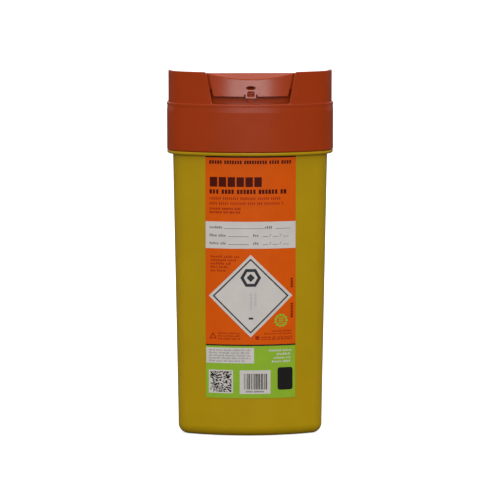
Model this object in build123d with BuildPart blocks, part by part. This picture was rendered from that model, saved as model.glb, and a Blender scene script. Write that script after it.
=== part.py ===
"""Sharps bin: a tapered container, a press-fit lid, a hinged closure flap and a front label.

Millimetres, +Z up. The origin is the centre of the foot, and the front faces -Y.
"""
import os
from math import cos, radians, sin, tan

from build123d import *

os.makedirs("parts", exist_ok=True)

# Overall sizes
lid_width = 83.6
lid_depth = 76.0
bin_height = 185.0
front_bow = 81.0  # radius of the bowed front and back faces, at the skirt
corner_radius = 12.0  # radius of the four upright corners, at the skirt
least_corner = 2.0  # an outline drawn in past the corners' radius keeps this
side_lean = 3.2  # degrees by which each side draws in towards the back
widest_depth = 19.0  # the lid is widest this far behind its front

# Lid: skirt, deck and guard collar
skirt_height = 24.1
skirt_wall = 1.3
skirt_foot_round = 0.7
ledge_round = 0.35
crown_lip = 1.3  # upright edge of the skirt over its crown
crown_height = 2.8
crown_tilt = 3.5  # degrees
deck_thickness = 1.4
collar_height = 16.0
collar_step = 0.75  # the collar stands in from the skirt by this ledge
collar_wall = 1.4
rim_round = 0.35
rim_level_depth = 20.5  # the rim is level from the front to here
rim_fall = 9.0  # degrees by which the rim then falls to the back
rim_blend = 25.0

# Notch in the front of the collar
notch_top_width = 44.0
notch_floor_width = 38.4
notch_floor_lift = 0.15
notch_top_round = 1.5
notch_floor_round = 1.0

# Container
container_wall = 1.2
container_draft = 1.05  # degrees on each side
rim_gap = 1.2  # room between the container's rim and the skirt
foot_round = 5.0
foot_ring_width = 4.0
foot_recess = 1.0
foot_recess_slope = 45.0  # degrees
cover_bead_inset = 0.05  # the bead's edge stands in from the skirt by this
cover_bead_height = 1.7
cover_bead_round = 0.25
cover_bead_foot_round = 1.1
cover_bead_gap = 0.1  # between the bead and the skirt's lower edge
snap_bead_height = 2.5
snap_bead_proud = 0.9
snap_bead_slope = 20.0  # degrees
snap_bead_drop = 8.5  # from the container's rim down to the top of the snap bead

# Snap lip and plug ring of the lid
snap_lip_height = 2.2
snap_lip_proud = 0.9
snap_gap = 0.3
plug_wall = 1.0
plug_depth = 5.0
plug_gap = 0.15

# Drop chute
chute_width = 54.0
chute_wall = 1.3
chute_corner = 8.0
chute_setback = 6.0  # from the skirt's front face
chute_back_gap = 5.0  # between the chute and the hinge barrel
seat_gap = 0.15  # between the chute's edge and the flap pushed fully home

# Closure flap
flap_wall = 1.4
flap_drop = 0.55  # the flap's top edge lies this far under the rim
flap_side_gap = 0.9
apron_recess = 0.3
apron_tilt = 7.0  # degrees
apron_wall = 1.5
apron_top_width = 42.3
apron_foot_width = 37.1
apron_foot_round = 1.0
finger_gap = 3.85  # from the notch's floor to the apron's lower edge
bevel_angle = 40.0  # degrees
bevel_drop = 3.1
bevel_round = 0.8
thumb_tab_width = 5.2
thumb_tab_drop = 0.85
tab_relief_width = 0.8  # the two reliefs that set the tab off from the apron's edge
tab_relief_height = 1.1
home_angle = 2.6  # degrees from the temporary closure down to the final one
panel_inset = 3.0  # the sunk panel on the plate stands in from the seal rib by this
panel_depth = 0.4

# Seal rib under the flap
seal_gap = 0.7
seal_wall = 1.1
seal_depth = 4.2

# Hinge
hinge_setback = 12.0  # from the skirt's back face to the hinge's axis
barrel_radius = 2.2
barrel_length = 44.0
pin_radius = 1.5
pin_gap = 0.06
pin_reach = 0.3  # the pins show past the brackets by this
bracket_wall = 3.2
bracket_radius = 3.2
bracket_side_gap = 0.25
pin_slot_width = 2.5
shoulder_clearance = 9.6  # from the hinge's axis to the wide part of the plate

# Catch
nose_lift = 0.8  # room under the hook's nose, over the tab's bar
home_nose_gap = 0.2  # the same when the flap is pushed home
lower_slot_width = 3.6
lower_slot_round = 0.6
upper_slot_width = 4.8
upper_slot_height = 2.0
bridge_height = 0.7
tab_bar_height = 0.65
hook_width = 2.9
hook_nose_height = 1.2
hook_nose_reach = 0.75
hook_nose_round = 0.5
hook_gap = 0.25
groove_depth = 0.75
groove_side_gap = 0.75
groove_margin = 1.2
catch_pad_proud = 0.35
catch_pad_top_width = 9.4
catch_pad_margin = 1.1

# Label
label_width = 45.2
label_height = 123.1
label_film = 0.15
label_glue = 0.05  # the film lies this far off the container
label_corner = 0.8
label_bead_gap = 0.1

# Levels worked out from the sizes
ledge_z = bin_height - collar_height
skirt_foot_z = ledge_z - skirt_height
rim_z = ledge_z - deck_thickness
notch_floor_z = ledge_z + notch_floor_lift
apron_foot_z = notch_floor_z + finger_gap
thumb_tab_z = apron_foot_z - thumb_tab_drop
front_y = -lid_depth / 2
draft_slope = tan(radians(container_draft))
fall_slope = tan(radians(rim_fall))

# Face of the apron, its bevel and the top plane of the flap, at mid-width
apron_inset = collar_step + apron_recess
flap_edge_z = bin_height - flap_drop
apron_top_z = flap_edge_z - bevel_drop


def apron_y(z, depth):
    """Place of the apron at mid-width, a depth behind its outer face."""
    return front_y + apron_inset + depth + (z - thumb_tab_z) * tan(radians(apron_tilt))


bevel_slope = tan(radians(bevel_angle))
flap_edge_y = apron_y(apron_top_z, 0) + bevel_drop / bevel_slope

# Hinge axis, tangent barrel under the top plane
hinge_y = lid_depth / 2 - hinge_setback
hinge_z = flap_edge_z - (hinge_y - flap_edge_y) * fall_slope - barrel_radius / cos(radians(rim_fall))
bracket_x = barrel_length / 2 + bracket_side_gap

# Catch, from the tab's lower edge up, and the tip of the hook behind its bars
tab_bar_z = thumb_tab_z + tab_bar_height
nose_z = tab_bar_z + nose_lift
home_travel = (hinge_y - front_y - apron_inset) * sin(radians(home_angle))
upper_slot_z = nose_z + home_travel - home_nose_gap
upper_slot_top_z = upper_slot_z + upper_slot_height
lower_slot_top_z = upper_slot_z - bridge_height
hook_tip_y = apron_y(lower_slot_top_z, apron_wall - groove_depth) + hook_gap

# Faces of the chute
chute_front_y = front_y + chute_setback
chute_back_y = hinge_y - barrel_radius - chute_back_gap
clear = lid_depth + lid_width + bin_height  # longer than any cut has to be


def side_x(y, inset):
    """Place of the lid's side at a depth, drawn in by an inset."""
    lean = radians(side_lean)
    return lid_width / 2 - inset / cos(lean) - (y - front_y - widest_depth) * tan(lean)


def plan(inset):
    """Outline of the lid from above, drawn in by an inset: bowed front and back, round corners."""
    with BuildSketch() as outline:
        with BuildLine():
            Polyline(
                (-side_x(-lid_depth, inset), -lid_depth),
                (side_x(-lid_depth, inset), -lid_depth),
                (side_x(lid_depth, inset), lid_depth),
                (-side_x(lid_depth, inset), lid_depth),
                close=True,
            )
        make_face()
        for side in (-1, 1):
            with Locations((0, side * (front_bow - lid_depth / 2))):
                Circle(front_bow - inset, mode=Mode.INTERSECT)
        fillet(outline.vertices(), max(corner_radius - inset, least_corner))
    return outline.sketch


def chute_plan(inset):
    """Outline of the drop chute from above, drawn in by an inset."""
    with BuildSketch() as outline:
        with Locations((0, (chute_front_y + chute_back_y) / 2)):
            Rectangle(chute_width - 2 * inset, chute_back_y - chute_front_y - 2 * inset)
        with Locations((0, front_bow - lid_depth / 2)):
            Circle(front_bow - chute_setback - inset, mode=Mode.INTERSECT)
        fillet(outline.vertices(), chute_corner - inset)
    return outline.sketch


def tub_inset(z):
    """How far the container's outer face stands in from the skirt's at a height."""
    return rim_gap + skirt_wall + (rim_z - z) * draft_slope


def tub_form(z_low, z_high, grow):
    """A length of the container's tapered outer form, grown outwards."""
    with BuildPart() as form:
        with BuildSketch(Plane.XY.offset(z_low)):
            add(plan(tub_inset(z_low) - grow))
        extrude(amount=z_high - z_low, taper=-container_draft)
    return form.part


def flap_plane_z(y, depth, angle):
    """Height of the plane that lies a depth under the flap's top, at a tilt about the hinge."""
    return hinge_z + (barrel_radius - depth) / cos(radians(angle)) + (hinge_y - y) * tan(radians(angle))


def rim_edges(edges, inset):
    """The edges over the ledge that follow the lid's outline at an inset, without the upright ones."""
    outline = plan(inset).wire()

    def on_outline(edge):
        middle = edge.position_at(0.5)
        upright = abs(edge.tangent_at(0.5).Z) > 0.999
        return not upright and outline.distance_to(Vector(middle.X, middle.Y, 0)) < inset / 100

    return edges.filter_by(on_outline).filter_by(lambda edge: edge.center().Z > ledge_z + rim_round)


# Container: cavity first, because the tub is its outer form less this
floor_z = foot_recess + container_wall
with BuildPart() as cavity:
    with BuildSketch(Plane.XY.offset(floor_z)):
        add(plan(tub_inset(floor_z) + container_wall))
    extrude(amount=rim_z - floor_z, taper=-container_draft)
    fillet(cavity.edges().group_by(Axis.Z)[0], foot_round - container_wall)

# Bead on which the skirt's lower edge stops, nearly as wide as the skirt
cover_bead_z = skirt_foot_z - cover_bead_gap - cover_bead_height
with BuildPart() as cover_bead:
    with BuildSketch(Plane.XY.offset(cover_bead_z)):
        add(plan(cover_bead_inset))
    extrude(amount=cover_bead_height)
    fillet(cover_bead.edges().group_by(Axis.Z)[0], cover_bead_foot_round)
    fillet(cover_bead.edges().group_by(Axis.Z)[-1], cover_bead_round)

snap_bead_z = rim_z - snap_bead_drop - snap_bead_height
with BuildPart() as container:
    add(tub_form(0, rim_z, 0))
    fillet(container.edges().group_by(Axis.Z)[0], foot_round)
    with BuildSketch():
        add(plan(tub_inset(0) + foot_round + foot_ring_width))
    extrude(amount=foot_recess, taper=foot_recess_slope, mode=Mode.SUBTRACT)
    add(cover_bead.part)
    # snap bead with a lead-in slope on its upper side
    with BuildSketch(Plane.XY.offset(snap_bead_z)):
        add(plan(tub_inset(snap_bead_z) - snap_bead_proud))
    extrude(amount=snap_bead_height, taper=snap_bead_slope)
    add(cavity.part, mode=Mode.SUBTRACT)
container.part.label = "container"

# Collar with the falling rim and the front notch
with BuildPart() as collar:
    with BuildSketch(Plane.XY.offset(ledge_z)):
        add(plan(collar_step))
        add(plan(collar_step + collar_wall), mode=Mode.SUBTRACT)
    extrude(amount=collar_height)
    rim_break_y = front_y + rim_level_depth
    with BuildSketch(Plane.YZ) as above_rim:
        with BuildLine():
            Polyline(
                (-lid_depth, bin_height),
                (rim_break_y, bin_height),
                (lid_depth, bin_height - (lid_depth - rim_break_y) * fall_slope),
                (lid_depth, bin_height + collar_height),
                (-lid_depth, bin_height + collar_height),
                close=True,
            )
        make_face()
        fillet(above_rim.vertices().sort_by_distance((rim_break_y, bin_height))[0], rim_blend)
    extrude(amount=lid_width, both=True, mode=Mode.SUBTRACT)
    with BuildSketch(Plane.XZ) as notch:
        with BuildLine():
            Polyline(
                (-notch_floor_width / 2, notch_floor_z),
                (-notch_top_width / 2, bin_height),
                (-lid_width / 2, bin_height),
                (-lid_width / 2, bin_height + collar_height),
                (lid_width / 2, bin_height + collar_height),
                (lid_width / 2, bin_height),
                (notch_top_width / 2, bin_height),
                (notch_floor_width / 2, notch_floor_z),
                close=True,
            )
        make_face()
        for side in (-1, 1):
            floor_corner = (side * notch_floor_width / 2, notch_floor_z)
            top_corner = (side * notch_top_width / 2, bin_height)
            fillet(notch.vertices().sort_by_distance(floor_corner)[0], notch_floor_round)
            fillet(notch.vertices().sort_by_distance(top_corner)[0], notch_top_round)
    extrude(amount=lid_depth, mode=Mode.SUBTRACT)
    fillet(rim_edges(collar.edges(), collar_step), rim_round)
    fillet(rim_edges(collar.edges(), collar_step + collar_wall), rim_round)

# Drop chute, cut to the plane on which the flap seats when it is pushed home
seat_angle = rim_fall - home_angle
seat_depth = flap_wall + seat_gap
with BuildPart() as chute:
    with BuildSketch(Plane.XY.offset(rim_z)):
        add(chute_plan(0))
    extrude(amount=collar_height)
    with BuildSketch(Plane.YZ):
        with BuildLine():
            Polyline(
                (-lid_depth, flap_plane_z(-lid_depth, seat_depth, seat_angle)),
                (lid_depth, flap_plane_z(lid_depth, seat_depth, seat_angle)),
                (lid_depth, bin_height + lid_depth),
                (-lid_depth, bin_height + lid_depth),
                close=True,
            )
        make_face()
    extrude(amount=lid_width, both=True, mode=Mode.SUBTRACT)

with BuildPart() as lid:
    # the crown leans in under an upright lip
    crown_foot_z = ledge_z - crown_lip - crown_height
    with BuildSketch(Plane.XY.offset(skirt_foot_z)):
        add(plan(0))
    extrude(amount=crown_foot_z - skirt_foot_z)
    with BuildSketch(Plane.XY.offset(crown_foot_z)):
        add(plan(0))
    extrude(amount=crown_height, taper=crown_tilt)
    with BuildSketch(Plane.XY.offset(ledge_z - crown_lip)):
        add(plan(0))
    extrude(amount=crown_lip)
    fillet(lid.edges().group_by(Axis.Z)[0], skirt_foot_round)
    fillet(lid.edges().group_by(Axis.Z)[-1], ledge_round)
    with BuildSketch(Plane.XY.offset(skirt_foot_z)):
        add(plan(skirt_wall))
    extrude(amount=skirt_height - deck_thickness, mode=Mode.SUBTRACT)
    # snap lip under the container's snap bead
    with BuildSketch(Plane.XY.offset(snap_bead_z - snap_gap)):
        add(plan(skirt_wall))
        add(plan(skirt_wall + snap_lip_proud), mode=Mode.SUBTRACT)
    extrude(amount=-snap_lip_height)
    # plug ring inside the container's rim
    plug_inset = tub_inset(rim_z - plug_depth) + container_wall + plug_gap
    with BuildSketch(Plane.XY.offset(rim_z)):
        add(plan(plug_inset))
        add(plan(plug_inset + plug_wall), mode=Mode.SUBTRACT)
    extrude(amount=-plug_depth)
    add(collar.part)
    add(chute.part)
    with BuildSketch(Plane.XY.offset(rim_z)):
        add(chute_plan(chute_wall))
    extrude(amount=collar_height + deck_thickness, mode=Mode.SUBTRACT)
    # catch hook on the chute's front wall
    with BuildSketch(Plane.YZ.offset(-hook_width / 2)) as hook:
        with BuildLine():
            Polyline(
                (chute_front_y + chute_wall / 2, ledge_z - deck_thickness / 2),
                (hook_tip_y + hook_nose_reach, ledge_z - deck_thickness / 2),
                (hook_tip_y + hook_nose_reach, nose_z),
                (hook_tip_y, nose_z),
                (hook_tip_y, nose_z + hook_nose_height),
                (chute_front_y + chute_wall / 2, nose_z + hook_nose_height + chute_setback / 2),
                close=True,
            )
        make_face()
        fillet(hook.vertices().group_by(Axis.X)[0], hook_nose_round)
    extrude(amount=hook_width)
    # hinge brackets with open-topped pin sockets
    for side in (-1, 1):
        with BuildSketch(Plane.YZ.offset(side * (bracket_x + bracket_wall / 2))):
            with Locations((hinge_y, hinge_z)):
                Circle(bracket_radius)
            with Locations((hinge_y, (hinge_z + ledge_z - deck_thickness / 2) / 2)):
                Rectangle(2 * bracket_radius, hinge_z - ledge_z + deck_thickness / 2)
            with Locations((hinge_y, hinge_z)):
                Circle(pin_radius + pin_gap, mode=Mode.SUBTRACT)
            with Locations((hinge_y, hinge_z + bracket_radius)):
                Rectangle(pin_slot_width, 2 * bracket_radius, mode=Mode.SUBTRACT)
        extrude(amount=bracket_wall / 2, both=True)
lid.part.label = "lid"

# Closure flap: cutters first
outer_line = (
    (-lid_depth, flap_edge_z - (flap_edge_y + lid_depth) * bevel_slope),
    (flap_edge_y, flap_edge_z),
    (hinge_y, flap_plane_z(hinge_y, 0, rim_fall)),
)
bevel_thickness = flap_wall / cos(radians(bevel_angle))
plate_thickness = flap_wall / cos(radians(rim_fall))
inner_edge_y = flap_edge_y + (bevel_thickness - plate_thickness) / (bevel_slope + fall_slope)
inner_line = (
    (-lid_depth, flap_edge_z - (flap_edge_y + lid_depth) * bevel_slope - bevel_thickness),
    (inner_edge_y, flap_plane_z(inner_edge_y, flap_wall, rim_fall)),
    (lid_depth, flap_plane_z(lid_depth, flap_wall, rim_fall)),
)

with BuildPart() as flap_hollow:
    with BuildSketch(Plane.XY.offset(thumb_tab_z)):
        add(plan(apron_inset + apron_wall))
    extrude(amount=collar_height, taper=apron_tilt)
    with BuildSketch(Plane.YZ):
        with BuildLine():
            Polyline(*inner_line, (lid_depth, 0), (-lid_depth, 0), close=True)
        make_face()
    extrude(amount=lid_width, both=True, mode=Mode.INTERSECT)

with BuildPart() as apron_trim:
    with BuildSketch(Plane.XZ) as around_apron:
        with Locations((0, bin_height)):
            Rectangle(2 * lid_width, 2 * lid_depth)
        with BuildLine():
            Polyline(
                (-apron_foot_width / 2, apron_foot_z),
                (-apron_top_width / 2, flap_edge_z),
                (-apron_top_width / 2, bin_height + collar_height),
                (apron_top_width / 2, bin_height + collar_height),
                (apron_top_width / 2, flap_edge_z),
                (apron_foot_width / 2, apron_foot_z),
                close=True,
            )
        make_face(mode=Mode.SUBTRACT)
        with Locations((0, apron_foot_z)):
            Rectangle(thumb_tab_width, 2 * thumb_tab_drop, mode=Mode.SUBTRACT)
        for side in (-1, 1):
            foot_corner = (side * apron_foot_width / 2, apron_foot_z)
            fillet(around_apron.vertices().sort_by_distance(foot_corner)[0], apron_foot_round)
            with Locations((side * (thumb_tab_width + tab_relief_width) / 2, apron_foot_z)):
                SlotOverall(2 * tab_relief_height, tab_relief_width, rotation=90)
    extrude(amount=clear, both=True)
    with BuildSketch(Plane.XY):
        add(plan(collar_step + collar_wall + flap_side_gap))
    extrude(amount=clear, both=True, mode=Mode.SUBTRACT)

with BuildPart() as catch_pad:
    with BuildSketch(Plane.XY.offset(thumb_tab_z)):
        add(plan(apron_inset - catch_pad_proud))
    extrude(amount=collar_height, taper=apron_tilt)
    pad_top_z = upper_slot_top_z + catch_pad_margin
    with BuildSketch(Plane.XZ) as pad_front:
        with BuildLine():
            Polyline(
                (-thumb_tab_width / 2, thumb_tab_z),
                (-catch_pad_top_width / 2, pad_top_z),
                (catch_pad_top_width / 2, pad_top_z),
                (thumb_tab_width / 2, thumb_tab_z),
                close=True,
            )
        make_face()
        fillet(pad_front.vertices().group_by(Axis.Y)[-1], catch_pad_margin)
    extrude(amount=lid_depth, mode=Mode.INTERSECT)

with BuildPart() as seal_rib:
    with BuildSketch(Plane.XY.offset(rim_z)):
        add(chute_plan(chute_wall + seal_gap))
        add(chute_plan(chute_wall + seal_gap + seal_wall), mode=Mode.SUBTRACT)
    extrude(amount=collar_height + deck_thickness)
    with BuildSketch(Plane.YZ):
        with BuildLine():
            Polyline(
                (-lid_depth, flap_plane_z(-lid_depth, flap_wall / 2, rim_fall)),
                (lid_depth, flap_plane_z(lid_depth, flap_wall / 2, rim_fall)),
                (lid_depth, flap_plane_z(lid_depth, flap_wall + seal_depth, rim_fall)),
                (-lid_depth, flap_plane_z(-lid_depth, flap_wall + seal_depth, rim_fall)),
                close=True,
            )
        make_face()
    extrude(amount=lid_width, both=True, mode=Mode.INTERSECT)

# Sunk panel in the top of the plate
with BuildPart() as panel:
    with BuildSketch(Plane.XY.offset(rim_z)):
        add(chute_plan(chute_wall + seal_gap + panel_inset))
    extrude(amount=collar_height + deck_thickness)
    with BuildSketch(Plane.YZ):
        with BuildLine():
            Polyline(
                (-lid_depth, flap_plane_z(-lid_depth, panel_depth, rim_fall)),
                (lid_depth, flap_plane_z(lid_depth, panel_depth, rim_fall)),
                (lid_depth, bin_height + lid_depth),
                (-lid_depth, bin_height + lid_depth),
                close=True,
            )
        make_face()
    extrude(amount=lid_width, both=True, mode=Mode.INTERSECT)

with BuildPart() as closure_flap:
    with BuildSketch(Plane.XY.offset(thumb_tab_z)):
        add(plan(apron_inset))
    extrude(amount=collar_height, taper=apron_tilt)
    with BuildSketch(Plane.YZ):
        with BuildLine():
            Polyline(*outer_line, (hinge_y, 0), (-lid_depth, 0), close=True)
        make_face()
    extrude(amount=lid_width, both=True, mode=Mode.INTERSECT)
    fillet(closure_flap.edges().sort_by_distance((0, flap_edge_y, flap_edge_z))[0], bevel_round)
    fillet(closure_flap.edges().sort_by_distance((0, apron_y(apron_top_z, 0), apron_top_z))[0], bevel_round)
    add(catch_pad.part)
    add(flap_hollow.part, mode=Mode.SUBTRACT)
    add(apron_trim.part, mode=Mode.SUBTRACT)
    # room for the brackets and the back corners of the collar
    shoulder_y = hinge_y - shoulder_clearance
    for side in (-1, 1):
        with BuildSketch(Plane.XY):
            with Locations((side * (barrel_length + lid_width) / 2, shoulder_y + lid_depth / 2)):
                Rectangle(lid_width, lid_depth)
        extrude(amount=clear, mode=Mode.SUBTRACT)
    # hinge barrel and pins
    with BuildSketch(Plane.YZ.offset(-barrel_length / 2)):
        with Locations((hinge_y, hinge_z)):
            Circle(barrel_radius)
    extrude(amount=barrel_length)
    pin_end = bracket_x + bracket_wall + pin_reach
    with BuildSketch(Plane.YZ.offset(-pin_end)):
        with Locations((hinge_y, hinge_z)):
            Circle(pin_radius)
    extrude(amount=2 * pin_end)
    add(seal_rib.part)
    add(panel.part, mode=Mode.SUBTRACT)
    # catch slots and the relief behind their bars
    with BuildSketch(Plane.XZ.offset(-chute_front_y)):
        with Locations((0, (tab_bar_z + lower_slot_top_z) / 2)):
            RectangleRounded(lower_slot_width, lower_slot_top_z - tab_bar_z, lower_slot_round)
        with Locations((0, (upper_slot_z + upper_slot_top_z) / 2)):
            Ellipse(upper_slot_width / 2, upper_slot_height / 2)
    extrude(amount=chute_setback, mode=Mode.SUBTRACT)
    groove_foot_z = thumb_tab_z - groove_margin
    groove_top_z = upper_slot_top_z + groove_margin
    groove_width = hook_width + 2 * groove_side_gap
    with BuildSketch(Plane.YZ.offset(-groove_width / 2)):
        with BuildLine():
            Polyline(
                (apron_y(groove_foot_z, apron_wall - groove_depth), groove_foot_z),
                (apron_y(groove_top_z, apron_wall - groove_depth), groove_top_z),
                (apron_y(groove_top_z, 2 * apron_wall), groove_top_z),
                (apron_y(groove_foot_z, 2 * apron_wall), groove_foot_z),
                close=True,
            )
        make_face()
    extrude(amount=groove_width, mode=Mode.SUBTRACT)
closure_flap.part.label = "closure_flap"

# Label: a film on the container's front
label_top_z = cover_bead_z - label_bead_gap
label_foot_z = label_top_z - label_height
with BuildPart() as label:
    add(tub_form(label_foot_z, label_top_z, label_glue + label_film))
    add(tub_form(label_foot_z, label_top_z, label_glue), mode=Mode.SUBTRACT)
    with BuildSketch(Plane.XZ):
        with Locations((0, (label_foot_z + label_top_z) / 2)):
            RectangleRounded(label_width, label_height, label_corner)
    extrude(amount=lid_depth, mode=Mode.INTERSECT)
label.part.label = "label"

export_step(container.part, "parts/container.step")
export_step(lid.part, "parts/lid.step")
export_step(closure_flap.part, "parts/closure_flap.step")
export_step(label.part, "parts/label.step")
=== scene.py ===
"""Sharps bin: satin moulded plastic, a printed front label and a white stage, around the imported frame.

Metres, +Z up. The front of the bin, with its label, faces -Y.
"""

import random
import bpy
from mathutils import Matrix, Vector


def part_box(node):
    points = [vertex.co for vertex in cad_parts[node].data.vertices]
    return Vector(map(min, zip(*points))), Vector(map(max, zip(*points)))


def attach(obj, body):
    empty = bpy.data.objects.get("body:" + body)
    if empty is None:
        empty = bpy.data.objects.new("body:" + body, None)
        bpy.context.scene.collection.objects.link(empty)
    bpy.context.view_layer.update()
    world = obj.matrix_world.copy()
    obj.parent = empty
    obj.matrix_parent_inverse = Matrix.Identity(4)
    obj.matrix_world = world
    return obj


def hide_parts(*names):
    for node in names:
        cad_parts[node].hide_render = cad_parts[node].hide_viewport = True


bl_info = {
    "name": "Sharps Bin",
    "version": (1, 0, 0),
    "blender": (4, 5, 0),
    "location": "View3D > Sidebar > Sharps Bin",
    "description": "Dresses the packed sharps bin in its plastics and its printed label",
    "category": "Object",
}

from math import cos, pi, radians, sin, sqrt, tan

import bmesh
import bpy
from bpy.props import FloatProperty, FloatVectorProperty, IntProperty, PointerProperty
from bpy.types import Operator, Panel, PropertyGroup
from mathutils import Matrix, Vector

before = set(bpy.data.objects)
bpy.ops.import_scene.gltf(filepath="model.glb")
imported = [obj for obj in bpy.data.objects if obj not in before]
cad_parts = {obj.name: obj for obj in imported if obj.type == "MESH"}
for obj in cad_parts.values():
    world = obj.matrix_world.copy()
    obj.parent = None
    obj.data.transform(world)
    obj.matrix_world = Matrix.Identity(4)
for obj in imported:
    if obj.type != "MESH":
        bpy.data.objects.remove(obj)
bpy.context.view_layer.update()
lid_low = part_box("lid")[0]
label_low, label_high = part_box("label")

MM = 0.001


def screen(red, green, blue):
    """A colour given as it shows on a screen, 0 to 255, as linear light."""
    shares = (red / 255, green / 255, blue / 255)
    return tuple(((c + 0.055) / 1.055) ** 2.4 if c > 10 / 255 else c / 12.92 for c in shares)


def colour_property(name, description, default):
    """A colour that a user may change."""
    return FloatVectorProperty(
        name=name, description=description, default=default, subtype="COLOR", size=3, min=0, max=1
    )


def length_property(name, description, default):
    """A length in metres that a user may change."""
    return FloatProperty(
        name=name, description=description, default=default, min=0, unit="LENGTH", precision=5
    )


# Settings


class PlasticSettings(PropertyGroup):
    """Colours and finish of the two moulded plastics."""

    yellow: colour_property("Yellow", "Colour of the container", screen(170, 137, 2))
    orange: colour_property("Orange", "Colour of the lid and the flap", screen(152, 50, 3))
    roughness: FloatProperty(
        name="Roughness", description="Middle roughness of the satin finish", default=0.24
    )
    grain: length_property("Grain", "Width of one grain of the mould's texture", 0.4 * MM)
    grain_depth: length_property("Grain Depth", "Depth of the mould's texture", 0.008 * MM)
    flow: length_property("Flow", "Width of the faint clouds in the colour", 22 * MM)


class LabelSettings(PropertyGroup):
    """Form and inks of the printed front label."""

    bow_radius: length_property("Bow Radius", "Radius of the bowed front, at the skirt", 81 * MM)
    draft: FloatProperty(
        name="Draft", description="Slope of the container's front", default=radians(1.05), subtype="ANGLE"
    )
    film: length_property("Film", "Thickness of the label's film", 0.15 * MM)
    corner: length_property("Corner", "Radius of the film's corners", 0.8 * MM)
    facet: length_property("Facet", "Width of the facets that follow the bow", 1.25 * MM)
    ink: length_property("Ink", "Height of one layer of print", 0.03 * MM)
    seed: IntProperty(name="Seed", description="Draw of the word bars and the code", default=7, min=0)
    ground: colour_property("Ground", "Printed orange of the film", screen(206, 82, 2))
    green: colour_property("Green", "Lower field", screen(134, 172, 44))
    white: colour_property("White", "Write-on panel and white fields", screen(198, 192, 187))
    red: colour_property("Dark Red", "Bold rows on the orange", screen(72, 14, 4))
    rust: colour_property("Rust", "Thin rows on the orange", screen(150, 42, 6))
    slate: colour_property("Slate", "Border and mark of the diamond", screen(52, 54, 58))
    black: colour_property("Black", "Lines, stripes and code", screen(30, 28, 26))
    grey: colour_property("Grey", "Small print on white", screen(112, 112, 114))
    pale_grey: colour_property("Pale Grey", "Faint print in the diamond", screen(172, 172, 176))


class StageSettings(PropertyGroup):
    """Camera, lamps and floor."""

    lens: FloatProperty(
        name="Lens", description="Focal length on a 36 mm sensor", default=262.8, unit="CAMERA"
    )
    distance: length_property("Distance", "From the bin's axis to the camera, along the floor", 1.8455)
    height: length_property("Height", "Height of the camera", 0.3462)
    azimuth: FloatProperty(
        name="Azimuth", description="Turn of the camera about the bin", default=radians(-1.2), subtype="ANGLE"
    )
    pitch: FloatProperty(
        name="Pitch", description="How far the camera looks down", default=radians(7.876), subtype="ANGLE"
    )
    aside: length_property("Aside", "How far the camera stands to the right of its line", 0.00035)
    front_power: FloatProperty(
        name="Front Lamp", description="Power of the front lamp", default=34, unit="POWER"
    )
    top_power: FloatProperty(
        name="Top Lamp", description="Power of the overhead lamp", default=10, unit="POWER"
    )
    fill: FloatProperty(name="Fill", description="Even light from all round", default=0.8, min=0)
    surround: FloatProperty(
        name="Surround", description="White that the gloss meets behind", default=0.9, min=0
    )


# Materials


def add_node(tree, kind, **sockets):
    """A new shader node with its input sockets set."""
    node = tree.nodes.new(kind)
    for name, value in sockets.items():
        node.inputs[name.replace("_", " ")].default_value = value
    return node


def new_material(name):
    """An empty material with its Principled shader."""
    material = bpy.data.materials.new(name)
    material.use_nodes = True
    tree = material.node_tree
    tree.nodes.clear()
    shader = tree.nodes.new("ShaderNodeBsdfPrincipled")
    output = tree.nodes.new("ShaderNodeOutputMaterial")
    tree.links.new(shader.outputs["BSDF"], output.inputs["Surface"])
    return material, tree, shader


def cloud(tree, width, detail):
    """Noise on Object coordinates, as wide as a length in metres."""
    place = tree.nodes.new("ShaderNodeTexCoord")
    noise = add_node(tree, "ShaderNodeTexNoise", Scale=1 / width, Detail=detail, Roughness=0.55)
    tree.links.new(place.outputs["Object"], noise.inputs["Vector"])
    return noise.outputs["Fac"]


def vary_colour(tree, shader, colour, share, width):
    """Lets a colour drift lighter and darker by a share of itself."""
    darker = (*(c * (1 - share) for c in colour), 1)
    lighter = (*(min(1, c * (1 + share)) for c in colour), 1)
    ramp = tree.nodes.new("ShaderNodeValToRGB")
    ramp.color_ramp.elements[0].position = 0.3
    ramp.color_ramp.elements[0].color = darker
    ramp.color_ramp.elements[1].position = 0.7
    ramp.color_ramp.elements[1].color = lighter
    tree.links.new(cloud(tree, width, 2), ramp.inputs["Fac"])
    tree.links.new(ramp.outputs["Color"], shader.inputs["Base Color"])


def vary_roughness(tree, shader, middle, spread, width):
    """Lets the roughness drift about its middle."""
    span = add_node(tree, "ShaderNodeMapRange", To_Min=middle - spread, To_Max=middle + spread)
    tree.links.new(cloud(tree, width, 3), span.inputs["Value"])
    tree.links.new(span.outputs["Result"], shader.inputs["Roughness"])


def add_grain(tree, shader, width, depth):
    """Fine bumps, as wide and deep as the mould's texture."""
    bump = add_node(tree, "ShaderNodeBump", Strength=1, Distance=depth)
    tree.links.new(cloud(tree, width, 2), bump.inputs["Height"])
    tree.links.new(bump.outputs["Normal"], shader.inputs["Normal"])


def moulded_plastic(name, colour):
    """Satin polypropylene, with faint clouds in its colour and the fine texture of its mould."""
    plastic = bpy.context.scene.bin_plastic
    material, tree, shader = new_material(name)
    vary_colour(tree, shader, colour, 0.04, plastic.flow)
    vary_roughness(tree, shader, plastic.roughness, 0.05, plastic.flow / 4)
    add_grain(tree, shader, plastic.grain, plastic.grain_depth)
    shader.inputs["IOR"].default_value = 1.49
    shader.inputs["Specular IOR Level"].default_value = 0.4
    return material


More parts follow.
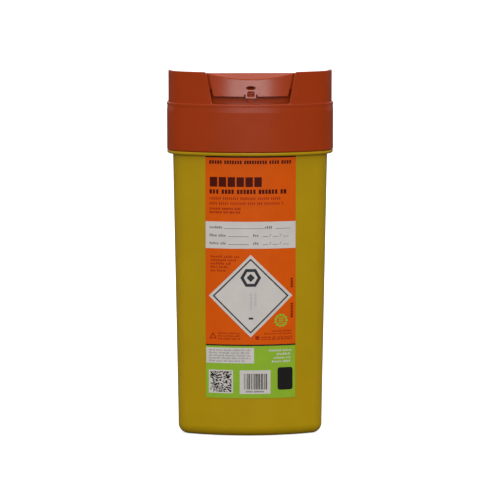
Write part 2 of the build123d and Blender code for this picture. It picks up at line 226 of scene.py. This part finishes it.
def printed_film(name, colour):
    """Ink on a plastic film: slightly mottled, smoother than the moulded plastic."""
    material, tree, shader = new_material(name)
    vary_colour(tree, shader, colour, 0.03, 6 * MM)
    vary_roughness(tree, shader, 0.26, 0.04, 9 * MM)
    add_grain(tree, shader, 0.8 * MM, 0.002 * MM)
    shader.inputs["IOR"].default_value = 1.45
    shader.inputs["Specular IOR Level"].default_value = 0.25
    return material


def dress_node(name, material):
    """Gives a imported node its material."""
    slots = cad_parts[name].material_slots
    for slot in slots:
        slot.material = material
    if not slots:
        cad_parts[name].data.materials.append(material)


# Flat print: x across from the label's middle, y up from its top edge, z out of the film
LETTER_PITCH = 0.74  # share of a row's height
LOW_LETTER = 0.72  # share of a row's height
TALL_LETTERS = 0.3  # share of the letters
WORD_GAP = 0.7  # share of the pitch
LAYER_FOOT = 1.6  # layers from a print's face down to its foot, which is sunk in what is under it


def front_face(x, z):
    """Place along Y of the film's outer face."""
    label = bpy.context.scene.bin_label
    bow_middle = lid_low.y + label.bow_radius
    radius = bow_middle - label_low.y - (label_high.z - z) * tan(label.draft)
    return bow_middle - sqrt(radius ** 2 - x ** 2)


def flat_place(x, drop, turn=0.0):
    """Matrix of a flat shape: millimetres across and down from the middle of the label's top edge."""
    return Matrix.Translation((x * MM, -drop * MM, 0)) @ Matrix.Rotation(radians(turn), 4, "Z")


def add_field(bm, left, right, top, foot, corner=0.0):
    """A rectangle in millimetres, with round corners where they are given."""
    place = flat_place((left + right) / 2, (top + foot) / 2)
    size = Matrix.Diagonal(((right - left) * MM, (foot - top) * MM, 1, 1))
    made = bmesh.ops.create_grid(bm, x_segments=1, y_segments=1, size=0.5, matrix=place @ size)
    if corner:
        bmesh.ops.bevel(
            bm,
            geom=made["verts"],
            offset=corner * MM,
            affect="VERTICES",
            segments=4,
            profile=0.5,
            material=-1,
        )


def add_bar(bm, x, drop, width, height, turn=0.0):
    """A small bar about its middle, which may lean."""
    size = Matrix.Diagonal((width * MM, height * MM, 1, 1))
    bmesh.ops.create_grid(bm, x_segments=1, y_segments=1, size=0.5, matrix=flat_place(x, drop, turn) @ size)


def add_disc(bm, x, drop, radius, sides=24, turn=0.0, band=0.0):
    """A disc or a polygon, or only its outer band."""
    made = bmesh.ops.create_circle(
        bm, cap_ends=True, segments=sides, radius=radius * MM, matrix=flat_place(x, drop, turn)
    )
    if band:
        middle = made["verts"][0].link_faces[0]
        bmesh.ops.inset_region(
            bm, faces=[middle], thickness=band * MM, use_even_offset=True, use_boundary=True
        )
        bmesh.ops.delete(bm, geom=[middle], context="FACES_ONLY")


def add_words(bm, draw, left, right, drop, height, ink=0.6, capitals=False):
    """A row of blocks that stands for words: each block is a letter's width."""
    pitch = height * LETTER_PITCH
    x = left
    while x < right - pitch:
        for _ in range(draw.randint(3, 9)):
            if x > right - pitch:
                break
            width = pitch * ink * draw.uniform(0.85, 1.1)
            tall = height if capitals or draw.random() < TALL_LETTERS else height * LOW_LETTER
            add_bar(bm, x + pitch / 2, drop + (height - tall) / 2, width, tall)
            x += pitch
        x += pitch * WORD_GAP


def raise_print(bm, foot, top):
    """Cuts flat shapes to the bow's facets, gives them their height and lays them on the bin's front."""
    label = bpy.context.scene.bin_label
    half = (label_high.x - label_low.x) / 2
    steps = round(half / label.facet)
    for step in range(-steps, steps + 1):
        everything = bm.verts[:] + bm.edges[:] + bm.faces[:]
        cut = step * half / steps
        bmesh.ops.bisect_plane(bm, geom=everything, dist=1e-7, plane_co=(cut, 0, 0), plane_no=(1, 0, 0))
    bmesh.ops.translate(bm, verts=bm.verts[:], vec=(0, 0, foot))
    raised = bmesh.ops.extrude_face_region(bm, geom=bm.faces[:], use_keep_orig=True)["geom"]
    upper = [part for part in raised if isinstance(part, bmesh.types.BMVert)]
    bmesh.ops.translate(bm, verts=upper, vec=(0, 0, top - foot))
    bmesh.ops.recalc_face_normals(bm, faces=bm.faces[:])
    for vert in bm.verts:
        x, up, out = vert.co
        z = label_high.z + up
        vert.co = (x, front_face(x, z) - out, z)


def make_print(name, material, draw_shapes, layer):
    """One printed piece on a layer of the label, from a function that draws its flat shapes."""
    ink = bpy.context.scene.bin_label.ink
    bm = bmesh.new()
    draw_shapes(bm)
    raise_print(bm, (layer - LAYER_FOOT) * ink, layer * ink)
    return keep_piece(name, bm, material)


def keep_piece(name, bm, material):
    """Turns a bmesh into a piece that rides on the bin."""
    mesh = bpy.data.meshes.new(name)
    bm.to_mesh(mesh)
    bm.free()
    mesh.shade_smooth()
    mesh.set_sharp_from_angle(angle=radians(30))
    mesh.materials.append(material)
    piece = bpy.data.objects.new(name, mesh)
    bpy.context.scene.collection.objects.link(piece)
    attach(piece, "root")
    return piece


# Places on the label, in millimetres: across from its middle, and down from its top edge
SIDE = 22.55
TEXT_LEFT = -20.8
WRITE_ON_TOP = 33.1
WRITE_ON_FOOT = 46.7
WRITE_ON_LINES = (36.55, 40.6, 44.6)
DIAMOND_DROP = 70.8
DIAMOND_REACH = 21.0
MARK_DROP = 61.5
GREEN_TOP = 96.0
TEXT_BOX = (-22.3, 1.7, 97.2, 105.1)
CODE_PANEL = (-21.05, -8.9, 108.6, 120.5)
STRIPE_PANEL = (-5.5, 10.0, 108.7, 120.8)
DARK_PLATE = (13.55, 21.2, 107.4, 118.9)


# Pieces


class BIN_OT_container(Operator):
    """Dress the container in yellow plastic"""

    bl_idname = "sharps_bin.container"
    bl_label = "Container"

    def execute(self, context):
        dress_node("container", moulded_plastic("yellow plastic", context.scene.bin_plastic.yellow))
        return {"FINISHED"}


class BIN_OT_lid(Operator):
    """Dress the lid and the closure flap in orange plastic"""

    bl_idname = "sharps_bin.lid"
    bl_label = "Lid and Flap"

    def execute(self, context):
        orange = moulded_plastic("orange plastic", context.scene.bin_plastic.orange)
        dress_node("lid", orange)
        dress_node("closure_flap", orange)
        return {"FINISHED"}


class BIN_OT_label_film(Operator):
    """Make the label's orange film"""

    bl_idname = "sharps_bin.label_film"
    bl_label = "Label Film"

    def execute(self, context):
        label = context.scene.bin_label
        bm = bmesh.new()
        half = (label_high.x - label_low.x) / 2 / MM
        add_field(bm, -half, half, 0, (label_high.z - label_low.z) / MM, corner=label.corner / MM)
        raise_print(bm, -label.film, 0)
        film = keep_piece("label_sheet", bm, printed_film("orange print", label.ground))
        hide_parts("label")
        return {"FINISHED"}


class BIN_OT_label_fields(Operator):
    """Make the printed fields: green foot, white panels, diamond and dark plate"""

    bl_idname = "sharps_bin.label_fields"
    bl_label = "Label Fields"

    def execute(self, context):
        label = context.scene.bin_label
        foot = (label_high.z - label_low.z) / MM - 0.05

        def green(bm):
            add_field(bm, -SIDE, SIDE, GREEN_TOP, foot, corner=0.6)

        def white(bm):
            add_field(bm, -SIDE, SIDE, WRITE_ON_TOP, WRITE_ON_FOOT)
            add_disc(bm, 0, DIAMOND_DROP, DIAMOND_REACH, sides=4)

        def panels(bm):
            for left, right, top, low in (TEXT_BOX, CODE_PANEL, STRIPE_PANEL):
                add_field(bm, left, right, top, low)

        def plate(bm):
            add_field(bm, *DARK_PLATE, corner=1.2)

        paper = printed_film("white print", label.white)
        make_print("green_field", printed_film("green print", label.green), green, 1)
        make_print("white_fields", paper, white, 1)
        make_print("white_panels", paper, panels, 2)
        make_print("dark_plate", printed_film("black plate", label.black), plate, 2)
        return {"FINISHED"}


class BIN_OT_label_lines(Operator):
    """Make the fill line, the line over the green field and the lines to write on"""

    bl_idname = "sharps_bin.label_lines"
    bl_label = "Label Lines"

    def execute(self, context):
        label = context.scene.bin_label

        def bold(bm):
            add_field(bm, -SIDE, SIDE, 0.1, 0.75)
            add_field(bm, -SIDE, SIDE, 95.55, 96.25)

        def fine(bm):
            for row, drop in enumerate(WRITE_ON_LINES):
                runs = ((-13.4, 6.6), (12.2, 19.7)) if row == 0 else ((-11.3, -1.0),)
                for left, right in runs:
                    add_field(bm, left, right, drop - 0.12, drop + 0.12)
                for x in (9.8, 14.9) if row else ():
                    add_bar(bm, x, drop - 0.6, 0.25, 1.5, turn=-24)
                for x in (7.4, 12.4, 17.6) if row else ():
                    add_bar(bm, x, drop, 2.8, 0.24)

        make_print("bold_lines", printed_film("black print", label.black), bold, 2)
        make_print("write_on_lines", printed_film("grey lines", label.grey), fine, 2)
        return {"FINISHED"}


class BIN_OT_label_words(Operator):
    """Make the rows of blocks that stand for the printed words"""

    bl_idname = "sharps_bin.label_words"
    bl_label = "Label Words"

    def execute(self, context):
        label = context.scene.bin_label
        draw = random.Random(label.seed)

        def bold(bm):
            add_words(bm, draw, TEXT_LEFT, 21.4, 3.1, 1.75, ink=0.72, capitals=True)
            add_words(bm, draw, TEXT_LEFT, 19.4, 17.95, 2.2, ink=0.74, capitals=True)
            for block in range(6):
                add_bar(bm, -18.6 + block * 4.45, 13.05, 3.7, 4.9)

        def thin(bm):
            add_words(bm, draw, TEXT_LEFT, 15.0, 21.4, 1.35, ink=0.5, capitals=True)
            add_words(bm, draw, TEXT_LEFT, 16.4, 23.9, 1.35, ink=0.5, capitals=True)
            add_words(bm, draw, TEXT_LEFT, -5.0, 26.6, 1.1, ink=0.7, capitals=True)
            add_words(bm, draw, TEXT_LEFT, -5.0, 28.4, 1.1, ink=0.7, capitals=True)
            for row, right in enumerate((-5.6, -7.2, -9.4, -11.4, -11.7)):
                add_words(bm, draw, TEXT_LEFT + 0.5, right, 50.8 + row * 1.76, 1.2, ink=0.6)
            for row in range(3):
                add_words(bm, draw, -16.4, -4.9, 89.7 + row * 1.45, 0.95, ink=0.6)
            for left, drop in ((10.8, 88.7), (6.8, 90.0), (5.3, 91.8), (5.3, 92.8)):
                add_words(bm, draw, left, 21.3, drop, 0.85, ink=0.6)
            add_disc(bm, -18.9, 91.5, 2.2, sides=3, turn=0, band=0.5)
            add_field(bm, 2.4, 4.3, 91.2, 93.1)

        def on_white(bm):
            for row, drop in enumerate(WRITE_ON_LINES):
                add_words(bm, draw, TEXT_LEFT, -13.6 if row == 0 else -11.6, drop - 0.6, 1.3, ink=0.62)
                left = 6.9 if row == 0 else 1.1
                add_words(bm, draw, left, 10.9 if row == 0 else 4.9, drop - 0.6, 1.3, ink=0.62)
            for row in range(5):
                add_words(bm, draw, -21.2, 0.3 - 3 * (row == 4), 98.4 + row * 1.37, 0.9, ink=0.45)

        def on_green(bm):
            for row, left in enumerate((8.8, 13.0, 11.5, 10.5)):
                add_words(bm, draw, left, 20.8, 98.6 + row * 1.88, 1.1, ink=0.6)

        make_print("bold_words", printed_film("dark red print", label.red), bold, 1)
        make_print("thin_words", printed_film("rust print", label.rust), thin, 1)
        make_print("panel_words", printed_film("grey print", label.grey), on_white, 3)
        make_print("white_words", printed_film("white words", label.white), on_green, 2)
        return {"FINISHED"}


class BIN_OT_label_marks(Operator):
    """Make the diamond's border and mark, the code, the stripes and the ring of lobes"""

    bl_idname = "sharps_bin.label_marks"
    bl_label = "Label Marks"

    def execute(self, context):
        label = context.scene.bin_label
        draw = random.Random(label.seed + 1)

        def border(bm):
            add_disc(bm, 0, DIAMOND_DROP, DIAMOND_REACH - 1.9, sides=4, band=0.7)
            add_disc(bm, 0, MARK_DROP, 5.2, sides=6, turn=30, band=1.5)
            add_disc(bm, 0, MARK_DROP, 2.1, sides=4)
            add_bar(bm, 0.1, 82.2, 2.3, 1.0)

        def faint(bm):
            for x, top, foot in ((0.2, 69.5, 79.0), (2.4, 69.5, 77.5)):
                for step in range(int((foot - top) / 0.9)):
                    add_bar(bm, x, top + step * 0.9, 1.1 if step % 4 else 0.7, 0.5)

        def code(bm):
            left, right, top, foot = CODE_PANEL
            cells = 21
            cell = (right - left - 1.6) / cells
            for row in range(cells):
                for column in range(cells):
                    if draw.random() < 0.5:
                        x = left + 0.8 + (column + 0.5) * cell
                        add_bar(bm, x, (top + foot) / 2 + (row + 0.5 - cells / 2) * cell, cell, cell)

        def stripes(bm):
            left, right, top, foot = STRIPE_PANEL
            x = left + 2.1
            while x < right - 1.6:
                width = draw.choice((0.15, 0.15, 0.3, 0.45))
                add_field(bm, x, x + width, top + 1.75, foot - 2.3)
                x += width + draw.choice((0.2, 0.2, 0.35, 0.5))
            add_words(bm, draw, left + 3.0, right - 3.0, foot - 1.2, 0.8, ink=0.5, capitals=True)

        def lobes(bm):
            for lobe in range(11):
                turn = lobe * 2 * pi / 11
                add_disc(bm, 15.3 + 2.75 * cos(turn), 83.4 + 2.75 * sin(turn), 0.72, sides=12)
            for row in range(3):
                add_bar(bm, 15.3, 82.3 + row * 1.1, 2.6, 0.55)

        def upright(bm):
            for top, foot in ((61.8, 67.4), (74.6, 82.7)):
                for step in range(int((foot - top) / 0.85)):
                    add_bar(bm, 20.7, top + (step + 0.5) * 0.85, 1.2, 0.5)

        make_print("diamond_marks", printed_film("slate print", label.slate), border, 2)
        make_print("faint_print", printed_film("pale grey print", label.pale_grey), faint, 2)
        make_print("code_squares", printed_film("black code", label.black), code, 3)
        make_print("stripes", printed_film("black stripes", label.black), stripes, 3)
        make_print("ring_of_lobes", printed_film("green lobes", label.green), lobes, 1)
        make_print("upright_words", printed_film("upright print", label.red), upright, 1)
        return {"FINISHED"}


# Stage
FRONT_LAMP_AIM = (0, 0, 0.12)
FRONT_LAMP_SIZE = (1.5, 0.9)
FRONT_LAMP_PLACE = (0, -2.6, 0.9)
TOP_LAMP_SIZE = (1.6, 1.2)
TOP_LAMP_PLACE = (0, -0.2, 1.9)
TOP_LAMP_AIM = (0, 0, 0.1)
FLOOR_REACH = 6


def add_lamp(name, power, size, place, aim):
    """A soft rectangular lamp that the camera doesn't see."""
    lamp = bpy.data.lights.new(name, "AREA")
    lamp.shape = "RECTANGLE"
    lamp.size, lamp.size_y = size
    lamp.energy = power
    lamp_object = bpy.data.objects.new(name, lamp)
    lamp_object.location = place
    lamp_object.rotation_euler = (Vector(aim) - Vector(place)).to_track_quat("-Z", "Y").to_euler()
    lamp_object.visible_camera = False
    bpy.context.scene.collection.objects.link(lamp_object)


def white_world(stage):
    """White to the camera, even light for the surfaces, and for the gloss white only behind the bin."""
    world = bpy.data.worlds.new("surround")
    world.use_nodes = True
    bpy.context.scene.world = world
    tree = world.node_tree
    tree.nodes.clear()
    light_path = tree.nodes.new("ShaderNodeLightPath")
    direction = tree.nodes.new("ShaderNodeTexCoord")
    split = tree.nodes.new("ShaderNodeSeparateXYZ")
    tree.links.new(direction.outputs["Generated"], split.inputs["Vector"])
    behind = add_node(
        tree, "ShaderNodeMapRange", From_Min=-0.2, From_Max=0.45, To_Min=0.03, To_Max=stage.surround
    )
    tree.links.new(split.outputs["Y"], behind.inputs["Value"])
    gloss = tree.nodes.new("ShaderNodeMix")
    gloss.inputs["A"].default_value = stage.fill
    tree.links.new(light_path.outputs["Is Glossy Ray"], gloss.inputs["Factor"])
    tree.links.new(behind.outputs["Result"], gloss.inputs["B"])
    seen = tree.nodes.new("ShaderNodeMix")
    seen.inputs["B"].default_value = 1
    tree.links.new(light_path.outputs["Is Camera Ray"], seen.inputs["Factor"])
    tree.links.new(gloss.outputs["Result"], seen.inputs["A"])
    background = add_node(tree, "ShaderNodeBackground", Color=(1, 1, 1, 1))
    tree.links.new(seen.outputs["Result"], background.inputs["Strength"])
    output = tree.nodes.new("ShaderNodeOutputWorld")
    tree.links.new(background.outputs["Background"], output.inputs["Surface"])


def add_floor():
    """A plain floor: white with a soft shadow to the camera, grey to the light that it sends back."""
    bm = bmesh.new()
    bmesh.ops.create_grid(bm, x_segments=1, y_segments=1, size=FLOOR_REACH)
    mesh = bpy.data.meshes.new("floor")
    bm.to_mesh(mesh)
    bm.free()
    material = bpy.data.materials.new("floor")
    material.use_nodes = True
    tree = material.node_tree
    tree.nodes.clear()
    light_path = tree.nodes.new("ShaderNodeLightPath")
    sent_back = add_node(tree, "ShaderNodeBsdfDiffuse", Color=(0.1, 0.1, 0.1, 1))
    shown = add_node(tree, "ShaderNodeBsdfDiffuse", Color=(0.9, 0.9, 0.9, 1))
    glow = add_node(tree, "ShaderNodeEmission", Color=(1, 1, 1, 1), Strength=0.62)
    white = tree.nodes.new("ShaderNodeAddShader")
    tree.links.new(shown.outputs["BSDF"], white.inputs[0])
    tree.links.new(glow.outputs["Emission"], white.inputs[1])
    mix = tree.nodes.new("ShaderNodeMixShader")
    tree.links.new(light_path.outputs["Is Camera Ray"], mix.inputs["Fac"])
    tree.links.new(sent_back.outputs["BSDF"], mix.inputs[1])
    tree.links.new(white.outputs["Shader"], mix.inputs[2])
    output = tree.nodes.new("ShaderNodeOutputMaterial")
    tree.links.new(mix.outputs["Shader"], output.inputs["Surface"])
    mesh.materials.append(material)
    floor = bpy.data.objects.new("floor", mesh)
    bpy.context.scene.collection.objects.link(floor)


def add_camera(stage):
    """The photograph's camera: a long lens, a little to the left and from above."""
    camera = bpy.data.cameras.new("camera")
    camera.lens = stage.lens
    camera.sensor_width = 36
    camera.clip_end = 20
    camera_object = bpy.data.objects.new("camera", camera)
    turn = Matrix.Rotation(stage.azimuth, 4, "Z")
    camera_object.location = turn @ Vector((stage.aside, -stage.distance, stage.height))
    camera_object.rotation_euler = (radians(90) - stage.pitch, 0, stage.azimuth)
    bpy.context.scene.collection.objects.link(camera_object)
    bpy.context.scene.camera = camera_object


class BIN_OT_stage(Operator):
    """Set up the floor, the lamps, the white surround and the camera"""

    bl_idname = "sharps_bin.stage"
    bl_label = "Stage"

    def execute(self, context):
        stage = context.scene.bin_stage
        context.scene.view_settings.view_transform = "Standard"
        white_world(stage)
        add_floor()
        add_lamp("front lamp", stage.front_power, FRONT_LAMP_SIZE, FRONT_LAMP_PLACE, FRONT_LAMP_AIM)
        add_lamp("top lamp", stage.top_power, TOP_LAMP_SIZE, TOP_LAMP_PLACE, TOP_LAMP_AIM)
        add_camera(stage)
        return {"FINISHED"}


class BIN_PT_panel(Panel):
    """Lists the pieces of the sharps bin"""

    bl_label = "Sharps Bin"
    bl_idname = "BIN_PT_panel"
    bl_space_type = "VIEW_3D"
    bl_region_type = "UI"
    bl_category = "Sharps Bin"

    def draw(self, context):
        for operator in PIECES:
            self.layout.operator(operator.bl_idname)


PIECES = (
    BIN_OT_container,
    BIN_OT_lid,
    BIN_OT_label_film,
    BIN_OT_label_fields,
    BIN_OT_label_lines,
    BIN_OT_label_words,
    BIN_OT_label_marks,
    BIN_OT_stage,
)
SETTINGS = {"bin_plastic": PlasticSettings, "bin_label": LabelSettings, "bin_stage": StageSettings}


def register():
    for group in SETTINGS.values():
        bpy.utils.register_class(group)
    for piece in (*PIECES, BIN_PT_panel):
        bpy.utils.register_class(piece)
    for name, group in SETTINGS.items():
        setattr(bpy.types.Scene, name, PointerProperty(type=group))


def unregister():
    for name in SETTINGS:
        delattr(bpy.types.Scene, name)
    for piece in (BIN_PT_panel, *reversed(PIECES)):
        bpy.utils.unregister_class(piece)
    for group in SETTINGS.values():
        bpy.utils.unregister_class(group)


def main():
    register()
    bpy.ops.sharps_bin.container()
    bpy.ops.sharps_bin.lid()
    bpy.ops.sharps_bin.label_film()
    bpy.ops.sharps_bin.label_fields()
    bpy.ops.sharps_bin.label_lines()
    bpy.ops.sharps_bin.label_words()
    bpy.ops.sharps_bin.label_marks()
    bpy.ops.sharps_bin.stage()


if __name__ == "__main__":
    main()
